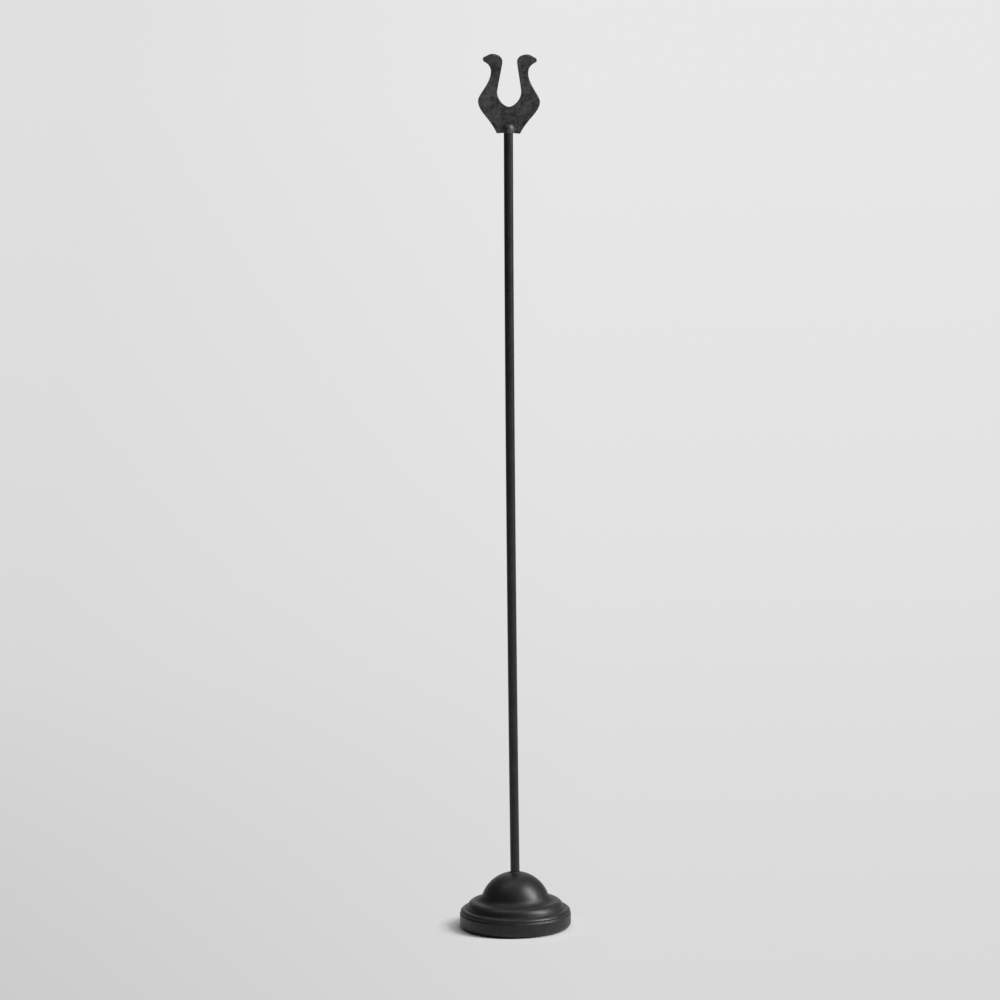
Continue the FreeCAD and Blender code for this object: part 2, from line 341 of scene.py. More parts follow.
def moulding(inset, end_radius):
    """Profile from the lip under the rim to the dome, moved inwards by inset.

    Arcs keep their centres: convex ones lose the inset from their radius and hollow ones
    gain it. The groove's flanks slope at 45 degrees.
    """
    wall = base_radius - inset
    rim = rim_round - inset
    bead = bead_round - inset
    shoulder = shoulder_round - inset
    cove = cove_round + inset
    dome = dome_round - inset
    floor = point(base_radius - groove_depth - inset * math.sqrt(2), groove_height)
    flank = np.array([1, 1]) / math.sqrt(2)
    offset = floor - bead_centre
    along = offset @ flank
    bead_start = floor + flank * (math.sqrt(along ** 2 - offset @ offset + bead ** 2) - along)
    to_bead = angle_of(bead_centre - crease_centre) % 360
    to_shoulder = angle_of(shoulder_centre - crease_centre) % 360
    back_to_shoulder = angle_of(shoulder_centre - cove_centre) % 360
    to_dome = angle_of(dome_centre - cove_centre) % 360
    dome_end = math.degrees(math.acos(end_radius / dome))
    lip_end = point(rim_centre[0] - rim_lip_width, rim_lift + inset)
    wall_end = point(wall, groove_height - (wall - floor[0]))
    return np.vstack([
        straight(lip_end, rim_centre - [0, rim], count=12),
        arc(rim_centre, rim, -90, 0, count=24),
        straight(point(wall, rim_centre[1]), wall_end, count=24),
        straight(wall_end, floor, count=8),
        straight(floor, bead_start, count=8),
        arc(bead_centre, bead, angle_of(bead_start - bead_centre), to_bead - 180, count=32),
        arc(crease_centre, crease_round + inset, to_bead, to_shoulder, count=12),
        arc(shoulder_centre, shoulder, to_shoulder - 180, back_to_shoulder - 180, count=40),
        arc(cove_centre, cove, back_to_shoulder, to_dome, count=24),
        arc(dome_centre, dome, to_dome - 180, dome_end, count=90),
    ])


def cover_profile():
    """Closed section of the cover; outside, the coat runs up the rod in a small fillet."""
    hole = rod_radius + rod_hole_clearance
    outside = moulding(0, hole + coat_fillet)
    inside = moulding(cover_sheet, hole)
    start = outside[-1]
    end = point(hole, start[1] + coat_fillet_height)
    start_pull = point(-coat_fillet * coat_fillet_pulls[0], coat_fillet_lift)
    end_pull = point(0, -coat_fillet * coat_fillet_pulls[1])
    run_up = curve(start, start_pull, end_pull, end, count=12)
    return np.vstack([outside, run_up, inside[::-1]])


def make_cover():
    """Cover of the base: its closed section, softened by the coat, turned about Z.

    Edge is 1 where the section bends outwards most, and fades with the bend. Hollow is 1
    where it bends inwards, averaged over a stretch to both sides.
    """
    columns = 224
    section = softened(cover_profile(), coat_softening, count=300)
    first = section - np.roll(section, 1, axis=0)
    second = np.roll(section, -1, axis=0) - section
    first_length = np.linalg.norm(first, axis=1)
    second_length = np.linalg.norm(second, axis=1)
    turn = first[:, 0] * second[:, 1] - first[:, 1] * second[:, 0]
    bend = turn / (first_length * second_length ** 2)
    edge = np.clip(bend / sharpest_bend, 0, 1)
    reach = round(coat_dull_reach / first_length.mean())
    hollow = np.clip(-bend * hollow_gain, 0, 1)
    hollow = np.mean([np.roll(hollow, shift) for shift in range(-reach, reach + 1)], axis=0)
    grid = turned(section, columns)
    marks = {"edge": np.repeat(edge, columns), "hollow": np.repeat(hollow, columns)}
    return mesh_piece("base_cover", grid, True, True, **marks)


# Rod, nut and pad


def thread_wave(height, turn):
    """Depth share of a V thread: a triangle wave of height less pitch times turn, 0 at crests."""
    phase = (height / thread_pitch - turn / (2 * np.pi)) % 1
    return np.abs(2 * phase - 1)


def make_rod():
    """Rod: radius over height and turn, threaded below its shoulder and chamfered at the top.

    Between base and clip its axis bows a little to the left: rod_bow times 4 s (1 - s), with s
    the share of that height. Two rows close above the shoulder keep its step sharp. The top's
    chamfer is slightly rounded, by its shares of height and depth.
    """
    columns = 64
    step_rows = rod_shoulder_height + np.array([0.001, 0.02])
    first_row = rod_shoulder_height + 1
    last_row = rod_top - rod_top_chamfer - 0.2
    chamfer_up = np.array([0, 0.7, 1])
    chamfer_in = np.array([0, 0.5, 1])
    threaded = np.linspace(rod_end, rod_shoulder_height, num=280)
    shaft = np.concatenate([step_rows, np.linspace(first_row, last_row, num=60)])
    turn = around(columns)[None, :]
    height = threaded[:, None]
    fade = np.clip((rod_shoulder_height - height) / thread_run_out - 1, 0, 1)
    point_in = np.clip(thread_chamfer - (height - rod_end), 0, thread_chamfer)
    screw = thread_radius - thread_depth * thread_wave(height, turn) * fade - point_in
    body = np.full((len(shaft), columns), rod_radius)
    body[0] = thread_radius
    tip = np.append(rod_top - rod_top_chamfer * (1 - chamfer_up), rod_top)
    tip_radius = np.append(rod_radius - rod_top_chamfer * chamfer_in, 0)
    cap = np.broadcast_to(tip_radius[:, None], (len(tip), columns))
    radius = np.vstack([np.zeros((1, columns)), screw, body, cap])
    heights = np.concatenate([[rod_end], threaded, shaft, tip])
    z = np.broadcast_to(heights[:, None], radius.shape)
    share = np.clip((z - dome_height) / (clip_foot - dome_height), 0, 1)
    axis = -rod_bow * 4 * share * (1 - share)
    grid = np.stack([axis + radius * np.cos(turn), radius * np.sin(turn), z], axis=2)
    return mesh_piece("tall_rod", grid, False, True)


def make_nut():
    """Hexagon nut: its section's outer side is the smaller of the hexagon and two chamfer cones."""
    columns = 192
    turn = around(columns)[None, :]
    sector = (turn + np.pi / 6) % (np.pi / 3) - np.pi / 6
    hexagon = nut_across_flats / 2 / np.cos(sector)
    flank = np.linspace(0, nut_height, num=33)[:, None]
    from_face = np.minimum(flank, nut_height - flank)
    outer = np.minimum(hexagon, nut_across_flats / 2 + from_face / nut_chamfer_slope)
    bore_height = np.linspace(nut_height, 0, num=90)[:, None]
    from_mouth = np.minimum(bore_height, nut_height - bore_height)
    countersink = np.clip(nut_countersink - from_mouth, 0, nut_countersink)
    wave = thread_wave(bore_height + nut_floor, turn)
    bore = thread_radius + thread_fit + countersink - nut_thread_share * thread_depth * wave
    radius = np.vstack([outer, bore])
    height = nut_floor + np.vstack([flank, bore_height])
    z = np.broadcast_to(height, radius.shape)
    grid = np.stack([radius * np.cos(turn), radius * np.sin(turn), z], axis=2)
    return mesh_piece("hexagon_nut", grid, True, True)


def make_pad():
    """Felt disc: profile with soft edges, turned; its underside dips a little by low sine waves."""
    edge = pad_edge_round
    flat_radius = pad_radius - edge
    profile = np.vstack([
        straight(point(0, 0), point(flat_radius, 0), count=60),
        arc(point(flat_radius, edge), edge, -90, 0, count=8),
        arc(point(flat_radius, pad_thickness - edge), edge, 0, 90, count=8),
        straight(point(flat_radius, pad_thickness), point(0, pad_thickness), count=12),
    ])
    grid = turned(profile, count=160)
    x, y, z = np.moveaxis(grid, 2, 0)
    waves = np.sin(x * pad_ripple_waves[0] + pad_ripple_start) * np.sin(y * pad_ripple_waves[1])
    share = 1 - z / pad_thickness
    inside = np.clip((pad_radius - pad_plain_rim - np.hypot(x, y)) / pad_ripple_fade, 0, 1)
    grid[..., 2] += pad_ripple * (1 + waves) * share * inside
    return mesh_piece("felt_pad", grid, False, True)


# Clip leaves


def outer_stretches():
    """Outer side of the lyre's right half from crown to middle, cut where the form changes."""
    foot_middle = point(0, foot_arch)
    foot = point(foot_half_width, 0)
    hip = point(hip_half_width, hip_height)
    neck = point(neck_half_width, neck_height)
    beak_centre = point(beak_reach - beak_round, beak_height)
    beak_under = beak_centre + polar(beak_under_angle, beak_round)
    beak_top = beak_centre + polar(beak_top_angle, beak_round)
    crown = point(crown_half_width, crown_height)
    up = point(0, 1)

    beak_pull = (beak_reach - crown_half_width) * crown_pull
    crown_line = curve(
        crown, point(beak_pull, 0), polar(beak_top_angle + 90, beak_pull), beak_top, fine_count
    )
    beak_line = arc(beak_centre, beak_round, beak_top_angle, beak_under_angle, fine_count)
    under_pull = polar(beak_under_angle - 90, (beak_reach - neck_half_width) * throat_pulls[0])
    throat_pull = up * (beak_height - neck_height) * throat_pulls[1]
    throat_line = curve(beak_under, under_pull, throat_pull, neck, fine_count)
    waist = neck_height - hip_height
    hip_line = curve(neck, up * -waist * hip_pulls[0], up * waist * hip_pulls[1], hip, fine_count)
    flank_pull = polar(90 - flank_angle, hip_height * flank_pulls[1])
    flank_line = curve(hip, up * -hip_height * flank_pulls[0], flank_pull, foot, fine_count)
    arch_line = straight(foot, foot_middle, fine_count)

    flank_end = foot + flank_pull / np.linalg.norm(flank_pull) * foot_corner_round
    arch_start = foot + (foot_middle - foot) / np.linalg.norm(foot_middle - foot) * foot_corner_round
    half_corner = 12
    corner = curve(
        flank_end,
        (foot - flank_end) * corner_pull,
        (foot - arch_start) * corner_pull,
        arch_start,
        2 * half_corner,
    )
    half_beak = len(beak_line) // 2
    return [
        np.vstack([crown_line, beak_line[:half_beak]]),
        np.vstack([beak_line[half_beak:], throat_line]),
        hip_line,
        np.vstack([flank_line[flank_line[:, 1] > flank_end[1]], corner[:half_corner]]),
        np.vstack([corner[half_corner:], arch_line[arch_line[:, 0] < arch_start[0]]]),
    ]


def inner_stretches():
    """Inner side of the lyre's right half from crown to middle, cut as the outer side is."""
    crown = point(crown_half_width, crown_height)
    mouth = point(mouth_half_width, mouth_height)
    pocket = point(pocket_half_width, pocket_height)
    gap_floor = point(0, gap_floor_height)
    up = point(0, 1)
    across = point(1, 0)

    head_pull = across * (mouth_half_width - crown_half_width) * mouth_pulls[0]
    mouth_pull = up * (crown_height - mouth_height) * mouth_pulls[1]
    mouth_line = curve(crown, head_pull, mouth_pull, mouth, fine_count)
    arm_handle = up * (mouth_height - pocket_height) * arm_pull
    arm_line = curve(mouth, -arm_handle, arm_handle, pocket, fine_count)
    pocket_pull = up * -(pocket_height - gap_floor_height) * floor_pulls[0]
    floor_pull = across * pocket_half_width * floor_pulls[1]
    floor_line = curve(pocket, pocket_pull, floor_pull, gap_floor, fine_count)
    level_with_neck = int(fine_count * arm_cut)
    inner_arm_end = int(fine_count * floor_cut)
    return [
        mouth_line,
        arm_line[:level_with_neck],
        arm_line[level_with_neck:],
        floor_line[:inner_arm_end],
        floor_line[inner_arm_end:],
    ]


def lyre_half_paths():
    """Outer and inner side of the lyre's right half, both from its crown to its middle line.

    Like stretches of the two get as many points, so that lines between them cross the
    leaf from side to side.
    """
    return joined(outer_stretches(), stretch_counts), joined(inner_stretches(), stretch_counts)


def joined(stretches, counts):
    """The stretches as one path, each with its own number of evenly spaced points."""
    path = []
    for index, (stretch, count) in enumerate(zip(stretches, counts)):
        start = stretches[index - 1][-1:] if index else stretch[:1]
        path.append(resampled(np.vstack([start, stretch]), count + 1)[:-1])
    path.append(stretches[-1][-1:])
    return np.vstack(path)


def inward_normals(loop):
    """Unit normals of a closed path that runs clockwise, turned towards its inside."""
    along = np.roll(loop, -1, axis=0) - np.roll(loop, 1, axis=0)
    normal = np.stack([along[:, 1], -along[:, 0]], axis=1)
    return normal / np.linalg.norm(normal, axis=1)[:, None]


def lyre_sides(outer, inner, depth):
    """Both sides of the whole lyre, moved into it by depth at right angles to its outline.

    The outline runs round as one closed path, and is then cut at the two crowns.
    """
    mirror = np.array([-1, 1])
    whole_outer = np.vstack([outer, outer[-2::-1] * mirror])
    whole_inner = np.vstack([inner, inner[-2::-1] * mirror])
    loop = np.vstack([whole_outer, whole_inner[-2:0:-1]])
    moved = loop + inward_normals(loop) * depth
    count = len(whole_outer)
    moved_inner = np.vstack([moved[:1], moved[:count - 1:-1], moved[count - 1:count]])
    return moved[:count], moved_inner


def smooth_step(value):
    clipped = np.clip(value, 0, 1)
    return clipped * clipped * (3 - 2 * clipped)


def smooth_max(a, b, blend):
    """The larger of two fields, rounded where they are closer than the blend."""
    near = np.clip(1 - np.abs(a - b) / blend, 0, 1)
    return np.maximum(a, b) + near * near * blend / 4


def sheet_depth(x, z, layer):
    """How far in front of the clip's middle plane a side of the bent leaf lies.

    Layer is 0 for the side towards the slot and 1 for the outer side. The sheet steps
    out by half the slot above the gap's floor and curls on a circle above the neck. The
    channel is a half cylinder with a quarter ball at its top.
    """
    start = leaf_sheet * layer
    step = card_slot / 2 * smooth_step((z - gap_floor_height) / joggle_length)
    radius = lead_in_radius - start
    rise = np.clip(z - neck_height, 0, None)
    curl = radius - np.sqrt(radius ** 2 - rise ** 2)
    flat = start + step + curl
    channel = channel_outer_radius if layer else channel_inner_radius
    above = np.clip(z - channel_length, 0, None)
    bulge = np.sqrt(np.clip(channel ** 2 - x ** 2 - above ** 2, 0, None))
    return smooth_max(flat, bulge, channel_root_blend if layer else channel_seat_blend)


def leaf_point(path, share):
    """Points of a leaf at a share of its thickness, from the slot side at 0 to the outer side at 1."""
    x = path[..., 0]
    z = path[..., 1]
    back = sheet_depth(x, z, 0)
    front = sheet_depth(x, z, 1)
    return np.stack([x, -(back + (front - back) * share), z], axis=-1)


def leaf_grid():
    """Closed section of the leaf, carried along the lyre from one crown to the other.

    The section runs over the outer side, round the edge of the gap, back over the slot
    side and round the outer edge. An edge is two quarter circles with a straight between.
    """
    outer, inner = lyre_half_paths()
    quarter = np.radians(np.linspace(0, 90, num=6))
    rising = 1 - np.cos(quarter)
    falling = 1 - np.sin(quarter)
    depths = leaf_edge_round * np.concatenate([falling, rising])
    share_of_round = leaf_edge_round / leaf_sheet
    shares = np.concatenate([1 - share_of_round * rising, share_of_round * falling])
    outer_edge, inner_edge = lyre_sides(outer, inner, leaf_edge_round)
    across = np.linspace(0, 1, num=40)[None, :, None]
    face = outer_edge[:, None, :] * (1 - across) + inner_edge[:, None, :] * across
    front = leaf_point(face, 1.0)
    back = leaf_point(face, 0.0)[:, ::-1]
    rings = [lyre_sides(outer, inner, depth) for depth in depths[1:-1]]
    ring_shares = list(zip(rings, shares[1:-1]))
    inner_ring = np.stack([leaf_point(ring[1], share) for ring, share in ring_shares], axis=1)
    outer_ring = np.stack([leaf_point(ring[0], share) for ring, share in ring_shares], axis=1)
    grid = np.concatenate([front, inner_ring, back, outer_ring[:, ::-1]], axis=1)
    wear = 1 - np.linspace(-1, 1, len(rings)) ** 2
    flat = np.zeros(face.shape[1])
    edge = np.concatenate([flat, wear, flat, wear])
    return grid, np.broadcast_to(edge, grid.shape[:2])


def make_leaf(name, turn):
    """One leaf, turned about the rod, leaning with the clip and set on the rod."""
    grid, edge = leaf_grid()
    placing = Matrix.Rotation(math.radians(clip_lean), 3, "Y") @ Matrix.Rotation(turn, 3, "Z")
    placed = grid @ np.array(placing).T
    placed[..., 2] += clip_foot
    return mesh_piece(name, placed, False, True, edge=edge)


# Materials


def new_group(name, inputs, outputs):
    """An empty shader node group with named sockets; an input has a type and a value."""
    group = bpy.data.node_groups.new(name, "ShaderNodeTree")
    for label, (kind, value) in inputs.items():
        socket = group.interface.new_socket(name=label, in_out="INPUT", socket_type=kind)
        socket.default_value = value
    for label, kind in outputs.items():
        group.interface.new_socket(name=label, in_out="OUTPUT", socket_type=kind)
    return group, group.nodes.new("NodeGroupInput"), group.nodes.new("NodeGroupOutput")


def add(tree, kind, **settings):
    """A node with its properties set."""
    node = tree.nodes.new(kind)
    for label, value in settings.items():
        setattr(node, label, value)
    return node


def math_node(tree, operation, a, b):
    """A Math node; each operand is a number or a socket."""
    node = add(tree, "ShaderNodeMath", operation=operation)
    for socket, value in zip(node.inputs, (a, b)):
        feed(tree, socket, value)
    return node.outputs[0]


def feed(tree, socket, value):
    """Sets a socket to a plain value, or links it to another socket."""
    if isinstance(value, bpy.types.NodeSocket):
        tree.links.new(value, socket)
    else:
        socket.default_value = value


def noise(tree, vector, cell, detail):
    """Noise with cells of a size in metres, about 0 to 1; cell may be a socket."""
    node = add(tree, "ShaderNodeTexNoise")
    feed(tree, node.inputs["Vector"], vector)
    linked = isinstance(cell, bpy.types.NodeSocket)
    scale = math_node(tree, "DIVIDE", 1.0, cell) if linked else 1.0 / cell
    feed(tree, node.inputs["Scale"], scale)
    node.inputs["Detail"].default_value = detail
    return node.outputs["Fac"]


def spread(tree, value, low, high, to_low=0.0, to_high=1.0):
    """Stretches a value from one range to another, with its ends cut off."""
    node = add(tree, "ShaderNodeMapRange", clamp=True)
    fed = {"Value": value, "From Min": low, "From Max": high, "To Min": to_low, "To Max": to_high}
    for label, item in fed.items():
        feed(tree, node.inputs[label], item)
    return node.outputs["Result"]


def mixed(tree, share, first, second):
    """Mix of two colours."""
    node = add(tree, "ShaderNodeMix", data_type="RGBA")
    feed(tree, node.inputs[mix_share], share)
    feed(tree, node.inputs[mix_first], first)
    feed(tree, node.inputs[mix_second], second)
    return node.outputs[mix_result]


def make_uneven_tone():
    """Two tones that change over in clouds of one size, with specks of a smaller size."""
    group, inside, outside = new_group(
        "uneven_tone",
        {
            "Place": ("NodeSocketVector", (0, 0, 0)),
            "Cloud Size": ("NodeSocketFloat", 0.01),
            "Speck Size": ("NodeSocketFloat", 0.001),
            "First": ("NodeSocketColor", (0, 0, 0, 1)),
            "Second": ("NodeSocketColor", (1, 1, 1, 1)),
        },
        {"Color": "NodeSocketColor", "Share": "NodeSocketFloat"},
    )
    cloud_weight = 0.7
    clouds = noise(group, inside.outputs["Place"], inside.outputs["Cloud Size"], detail=3.0)
    specks = noise(group, inside.outputs["Place"], inside.outputs["Speck Size"], detail=1.0)
    clouds = math_node(group, "MULTIPLY", clouds, cloud_weight)
    specks = math_node(group, "MULTIPLY", specks, 1 - cloud_weight)
    share = spread(group, math_node(group, "ADD", clouds, specks), low=0.38, high=0.62)
    colour = mixed(group, share, inside.outputs["First"], inside.outputs["Second"])
    group.links.new(colour, outside.inputs["Color"])
    group.links.new(share, outside.inputs["Share"])
    return group


def make_coat_relief():
    """Height of a sprayed or cast surface: waves, a pebbled skin and fine grain, in metres."""
    group, inside, outside = new_group(
        "coat_relief",
        {
            "Place": ("NodeSocketVector", (0, 0, 0)),
            "Wave Size": ("NodeSocketFloat", 0.004),
            "Wave Height": ("NodeSocketFloat", 0.00002),
            "Pebble Size": ("NodeSocketFloat", 0.0006),
            "Pebble Height": ("NodeSocketFloat", 0.00001),
            "Grain Size": ("NodeSocketFloat", 0.00015),
            "Grain Height": ("NodeSocketFloat", 0.000002),
        },
        {"Height": "NodeSocketFloat"},
    )
    place = inside.outputs["Place"]
    total = 0.0
    for form in ("Wave", "Pebble", "Grain"):
        part = noise(group, place, inside.outputs[form + " Size"], detail=1.0)
        height = math_node(group, "MULTIPLY", part, inside.outputs[form + " Height"])
        total = math_node(group, "ADD", total, height)
    group.links.new(total, outside.inputs["Height"])
    return group


def make_edge_rub():
    """Mask of edges that hands and cards have rubbed, broken up by noise."""
    group, inside, outside = new_group(
        "edge_rub",
        {
            "Place": ("NodeSocketVector", (0, 0, 0)),
            "Patch Size": ("NodeSocketFloat", 0.002),
            "Amount": ("NodeSocketFloat", 0.5),
        },
        {"Mask": "NodeSocketFloat"},
    )
    edge = add(group, "ShaderNodeAttribute", attribute_name="edge")
    patches = noise(group, inside.outputs["Place"], inside.outputs["Patch Size"], detail=3.0)
    broken = spread(group, patches, low=0.4, high=0.65)
    mask = math_node(group, "MULTIPLY", edge.outputs["Fac"], broken)
    mask = math_node(group, "MULTIPLY", mask, inside.outputs["Amount"])
    group.links.new(mask, outside.inputs["Mask"])
    return group


def make_hollow_dulling():
    """Mask of hollow corners, where powder lands thinly and stays dull, broken up by noise."""
    group, inside, outside = new_group(
        "hollow_dulling",
        {
            "Place": ("NodeSocketVector", (0, 0, 0)),
            "Patch Size": ("NodeSocketFloat", 0.004),
            "Amount": ("NodeSocketFloat", 1.0),
        },
        {"Mask": "NodeSocketFloat"},
    )
    hollow = add(group, "ShaderNodeAttribute", attribute_name="hollow")
    patches = noise(group, inside.outputs["Place"], inside.outputs["Patch Size"], detail=2.0)
    broken = spread(group, patches, low=0.3, high=0.7, to_low=0.7, to_high=1.0)
    mask = math_node(group, "MULTIPLY", hollow.outputs["Fac"], broken)
    mask = math_node(group, "MULTIPLY", mask, inside.outputs["Amount"])
    group.links.new(mask, outside.inputs["Mask"])
    return group


uneven_tone = make_uneven_tone()
coat_relief = make_coat_relief()
edge_rub = make_edge_rub()
hollow_dulling = make_hollow_dulling()


def placed_group(tree, group, place, **values):
    """A group in a material's tree, with its inputs fed by their names with spaces."""
    node = add(tree, "ShaderNodeGroup", node_tree=group)
    feed(tree, node.inputs["Place"], place)
    for label, value in values.items():
        feed(tree, node.inputs[label.replace("_", " ")], value)
    return node


def new_material(name):
    """A node material with its shader and the object's own coordinates."""
    material = bpy.data.materials.new(name)
    material.use_nodes = True
    tree = material.node_tree
    shader = tree.nodes["Principled BSDF"]
    place = add(tree, "ShaderNodeTexCoord").outputs["Object"]
    return material, tree, shader, place


def bump(tree, shader, height, strength=1.0):
    """Feeds a height in metres to the shader's normal."""
    node = add(tree, "ShaderNodeBump")
    node.inputs["Strength"].default_value = strength
    node.inputs["Distance"].default_value = 1.0
    feed(tree, node.inputs["Height"], height)
    tree.links.new(node.outputs["Normal"], shader.inputs["Normal"])


def make_black_coat(name, cloud_size, first, second):
    """Satin black powder coat: faint clouds, pebbled skin, smoother edges and duller hollows."""
    rubbed_colour = (0.06, 0.059, 0.058, 1)
    rub_polish = 0.06
    material, tree, shader, place = new_material(name)
    tone = placed_group(tree, uneven_tone, place, Cloud_Size=cloud_size, Speck_Size=0.0008,
                        First=first, Second=second)
    rub = placed_group(tree, edge_rub, place, Patch_Size=0.0018, Amount=0.25)
    colour = mixed(tree, rub.outputs["Mask"], tone.outputs["Color"], rubbed_colour)
    tree.links.new(colour, shader.inputs["Base Color"])
    shader.inputs["Specular IOR Level"].default_value = 0.4
    smudges = noise(tree, place, cell=0.012, detail=3.0)
    satin = spread(tree, smudges, low=0.3, high=0.7, to_low=0.37, to_high=0.45)
    polish = math_node(tree, "MULTIPLY", rub.outputs["Mask"], rub_polish)
    satin = math_node(tree, "SUBTRACT", satin, polish)
    dull = placed_group(tree, hollow_dulling, place, Patch_Size=0.004, Amount=0.2)
    satin = math_node(tree, "ADD", satin, dull.outputs["Mask"])
    tree.links.new(satin, shader.inputs["Roughness"])
    relief = placed_group(tree, coat_relief, place, Wave_Size=0.0045, Wave_Height=0.00006,
                          Pebble_Size=0.0007, Pebble_Height=0.000012,
                          Grain_Size=0.00018, Grain_Height=0.0000015)
    bump(tree, shader, relief.outputs["Height"])
    return material


def make_cast_iron():
    """Bare cast slug: grey with brown clouds and a coarse sandy skin."""
    material, tree, shader, place = new_material("cast_iron_skin")
    tone = placed_group(tree, uneven_tone, place, Cloud_Size=0.006, Speck_Size=0.0007,
                        First=(0.095, 0.092, 0.09, 1), Second=(0.15, 0.135, 0.12, 1))
    tree.links.new(tone.outputs["Color"], shader.inputs["Base Color"])
    shader.inputs["Metallic"].default_value = 0.75
    rough = spread(tree, tone.outputs["Share"], low=0.0, high=1.0, to_low=0.55, to_high=0.78)
    tree.links.new(rough, shader.inputs["Roughness"])
    relief = placed_group(tree, coat_relief, place, Wave_Size=0.003, Wave_Height=0.0002,
                          Pebble_Size=0.0006, Pebble_Height=0.00008,
                          Grain_Size=0.0002, Grain_Height=0.00002)
    bump(tree, shader, relief.outputs["Height"])
    return material


def make_zinc():
    """Zinc plate on nut and washer: pale bluish grey with passivation clouds and a fine grain."""
    material, tree, shader, place = new_material("zinc_plate")
    tone = placed_group(tree, uneven_tone, place, Cloud_Size=0.002, Speck_Size=0.0003,
                        First=(0.52, 0.53, 0.54, 1), Second=(0.62, 0.6, 0.54, 1))
    tree.links.new(tone.outputs["Color"], shader.inputs["Base Color"])
    shader.inputs["Metallic"].default_value = 1.0
    rough = spread(tree, tone.outputs["Share"], low=0.0, high=1.0, to_low=0.28, to_high=0.42)
    tree.links.new(rough, shader.inputs["Roughness"])
    relief = placed_group(tree, coat_relief, place, Wave_Size=0.0012, Wave_Height=0.00001,
                          Pebble_Size=0.0003, Pebble_Height=0.000006,
                          Grain_Size=0.00008, Grain_Height=0.000002)
    bump(tree, shader, relief.outputs["Height"])
    return material


def make_felt():
    """Black felt: matted fibres as stretched noise in two directions, with pale lint specks."""
    along_fibre = 0.18
    fibre_turn = 0.5
    fibre_width = 0.00025
    fibre_height = 0.0001
    material, tree, shader, place = new_material("black_felt")
    tone = placed_group(tree, uneven_tone, place, Cloud_Size=0.004, Speck_Size=0.0003,
                        First=(0.022, 0.022, 0.023, 1), Second=(0.045, 0.045, 0.046, 1))
    tree.links.new(tone.outputs["Color"], shader.inputs["Base Color"])
    shader.inputs["Roughness"].default_value = 0.95
    shader.inputs["Sheen Weight"].default_value = 0.4
    shader.inputs["Sheen Roughness"].default_value = 0.6
    fibres = 0.0
    for stretch in ((1.0, along_fibre, 1.0), (along_fibre, 1.0, 1.0)):
        mapping = add(tree, "ShaderNodeMapping")
        mapping.inputs["Scale"].default_value = stretch
        mapping.inputs["Rotation"].default_value = (0, 0, fibre_turn)
        feed(tree, mapping.inputs["Vector"], place)
        strand = noise(tree, mapping.outputs["Vector"], cell=fibre_width, detail=2.0)
        strand = math_node(tree, "MULTIPLY", strand, fibre_height)
        fibres = math_node(tree, "ADD", fibres, strand)
    bump(tree, shader, fibres, strength=0.8)
    return material


def dress(piece, material, slot, *nodes):
    """Gives a piece its material; the record slot is not used; a new piece rides on the body and stands
    for nodes.
    """
    piece.data.materials.clear()
    piece.data.materials.append(material)
    if nodes:
        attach(piece, "root")
        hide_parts(*nodes)


# Camera, floor and light


def make_camera():
    """Camera on the photograph's side, turned by pan, tilt and roll from a level look along +Y."""
    data = bpy.data.cameras.new("photo_camera")
    data.sensor_width = sensor_width
    data.lens = sensor_width * focal_in_pixels / image_pixels
    data.clip_start = 0.1
    data.clip_end = 60.0
    camera = bpy.data.objects.new("photo_camera", data)
    bpy.context.scene.collection.objects.link(camera)
    azimuth = math.radians(camera_azimuth)
    turn = Matrix.Rotation(azimuth - math.radians(camera_pan), 4, "Z")
    tilt = Matrix.Rotation(math.radians(90 - camera_tilt), 4, "X")
    roll = Matrix.Rotation(math.radians(camera_roll), 4, "Z")
    eye = (camera_distance * math.sin(azimuth), -camera_distance * math.cos(azimuth), camera_height)
    camera.matrix_world = Matrix.Translation(eye) @ turn @ tilt @ roll
    bpy.context.scene.camera = camera


def make_floor():
    """Paper sweep: a level floor that bends up on a quarter circle into a wall, in metres.

    Its front is turned upwards, because the back of the paper is clear.
    """
    front = -6.0
    bend_start = 0.9
    bend_radius = 1.2
    wall_top = 5.0
    half_width = 8.0
    wall_place = bend_start + bend_radius
    level = straight(point(front, 0), point(bend_start, 0), count=30)
    bend = arc(point(bend_start, bend_radius), bend_radius, -90, 0, count=40)
    wall = straight(point(wall_place, bend_radius), point(wall_place, wall_top), count=20)
    section = np.vstack([level, bend, wall]) / MM
    x = np.linspace(-half_width, half_width, num=24) / MM
    grid = np.stack(np.broadcast_arrays(x[None, :], section[:, :1], section[:, 1:]), axis=2)
    sweep = mesh_piece("paper_sweep", grid)
    faces_down = sweep.data.polygons[0].normal.z < 0
    if faces_down:
        sweep.data.flip_normals()
    sweep.data.materials.append(make_paper())


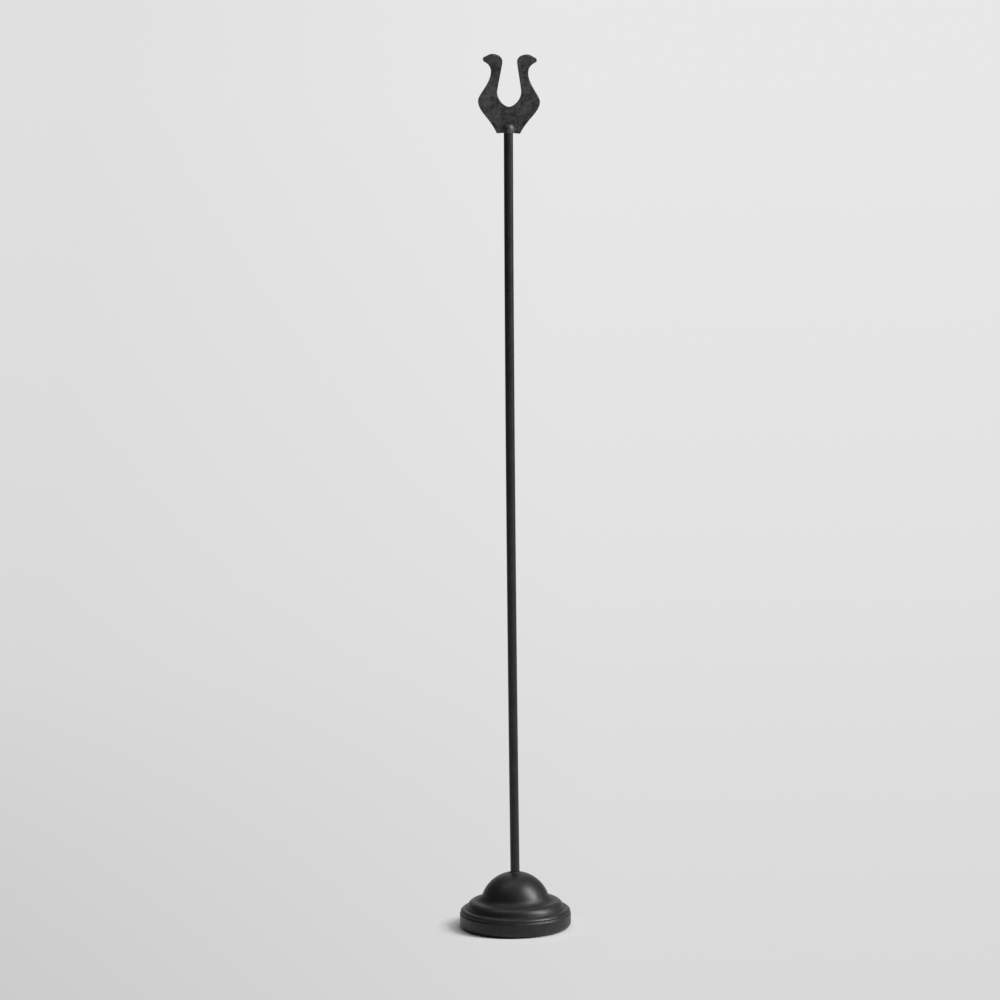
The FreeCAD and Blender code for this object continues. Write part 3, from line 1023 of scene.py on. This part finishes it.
def make_paper():
    """Pale paper: round the stand it takes light and shadow, and farther off it shows a glow of painted
    light.

    The glow rises with the distance run along the sweep, and painted shade makes it fall off to the left.
    Only rays from the camera and from glossy surfaces see it. For glossy ones it is a painted reflection
    that fades to both sides, as a narrow sheet of paper would in a dim room. The back of the sheet is
    clear, so that its wall doesn't hide the stand from behind.
    """
    material, tree, shader, place = new_material("pale_paper")
    shader.inputs["Base Color"].default_value = paper_colour
    shader.inputs["Roughness"].default_value = 0.9
    shader.inputs["Specular IOR Level"].default_value = 0.1
    axes = add(tree, "ShaderNodeSeparateXYZ")
    feed(tree, axes.inputs[0], place)
    run = math_node(tree, "ADD", axes.outputs["Y"], axes.outputs["Z"])
    # painted light: the glow brightens along the sweep
    tone = spread(tree, run, *paper_tone_run, *paper_painted_tones)
    # painted shade: the glow darkens towards the left
    painted_left_share = spread(tree, run, *paper_left_run, *paper_painted_shade_shares)
    painted_left_shade = spread(tree, axes.outputs["X"], *paper_left_reach, painted_left_share, 1.0)
    tone = math_node(tree, "MULTIPLY", tone, painted_left_shade)
    # painted reflection: for glossy rays the glow fades to both sides
    aside = math_node(tree, "ABSOLUTE", axes.outputs["X"], 0.0)
    fade = spread(tree, aside, *paper_side_fade, to_high=paper_painted_reflection_loss)
    rays = add(tree, "ShaderNodeLightPath")
    fade = math_node(tree, "MULTIPLY", fade, rays.outputs["Is Glossy Ray"])
    tone = math_node(tree, "MULTIPLY", tone, math_node(tree, "SUBTRACT", 1.0, fade))
    # the glow of painted light, which replaces the paper's real shading beyond the shadow reach
    painted_glow = add(tree, "ShaderNodeEmission")
    tree.links.new(tone, painted_glow.inputs["Strength"])
    seen = math_node(tree, "MAXIMUM", rays.outputs["Is Camera Ray"], rays.outputs["Is Glossy Ray"])
    distance = add(tree, "ShaderNodeVectorMath", operation="LENGTH")
    feed(tree, distance.inputs[0], place)
    far = spread(tree, distance.outputs["Value"], *shadow_reach)
    share = math_node(tree, "MULTIPLY", seen, far)
    blend = add(tree, "ShaderNodeMixShader")
    tree.links.new(share, blend.inputs[0])
    tree.links.new(shader.outputs[0], blend.inputs[1])
    tree.links.new(painted_glow.outputs[0], blend.inputs[2])
    side = add(tree, "ShaderNodeNewGeometry")
    clear = add(tree, "ShaderNodeBsdfTransparent")
    sheet = add(tree, "ShaderNodeMixShader")
    tree.links.new(side.outputs["Backfacing"], sheet.inputs[0])
    tree.links.new(blend.outputs[0], sheet.inputs[1])
    tree.links.new(clear.outputs[0], sheet.inputs[2])
    tree.links.new(sheet.outputs[0], tree.nodes["Material Output"].inputs["Surface"])
    return material


def aimed_lamp(name, azimuth, elevation, distance, width, height, power):
    """Soft box at an azimuth to the right of the camera, facing the lamps' target."""
    data = bpy.data.lights.new(name, "AREA")
    data.shape = "RECTANGLE"
    data.size = width
    data.size_y = height
    data.energy = power
    lamp = bpy.data.objects.new(name, data)
    bpy.context.scene.collection.objects.link(lamp)
    side = math.radians(azimuth)
    up = math.radians(elevation)
    direction = [math.sin(side) * math.cos(up), -math.cos(side) * math.cos(up), math.sin(up)]
    place = np.array(lamp_target) + np.array(direction) * distance
    facing = Matrix.Rotation(side, 4, "Z") @ Matrix.Rotation(math.pi / 2 - up, 4, "X")
    lamp.matrix_world = Matrix.Translation(place) @ facing


def make_light():
    """Tall key box on the right, a weak long box overhead and a dim even room."""
    aimed_lamp("key_box", *key_box)
    aimed_lamp("top_box", *top_box)
    world = bpy.data.worlds.new("dim_room")
    world.use_nodes = True
    room = world.node_tree.nodes["Background"]
    room.inputs["Color"].default_value = (1.0, 1.0, 1.0, 1)
    room.inputs["Strength"].default_value = room_strength
    bpy.context.scene.world = world


make_camera()
make_floor()
make_light()

black_coat = make_black_coat(
    "satin_black_coat",
    cloud_size=0.007,
    first=(0.008, 0.008, 0.0085, 1),
    second=(0.014, 0.0137, 0.0137, 1),
)
clip_coat = make_black_coat(
    "clip_black_coat",
    cloud_size=0.0026,
    first=(0.0115, 0.0115, 0.012, 1),
    second=(0.07, 0.0695, 0.069, 1),
)
cast_iron = make_cast_iron()
zinc = make_zinc()
felt = make_felt()

dress(make_cover(), black_coat, "black_paint", "base_shell")
dress(make_rod(), black_coat, "black_paint", "rod")
dress(make_leaf("front_leaf", 0.0), clip_coat, "black_paint", "clip_front_leaf")
dress(make_leaf("rear_leaf", math.pi), clip_coat, "black_paint", "clip_rear_leaf")
dress(make_nut(), zinc, "plated_steel", "rod_nut")
dress(make_pad(), felt, "pad", "foot_pad")
dress(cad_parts["base_weight"], cast_iron, "cast_slug")
dress(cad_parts["rod_washer"], zinc, "plated_steel")

bpy.context.scene.view_settings.view_transform = "Standard"
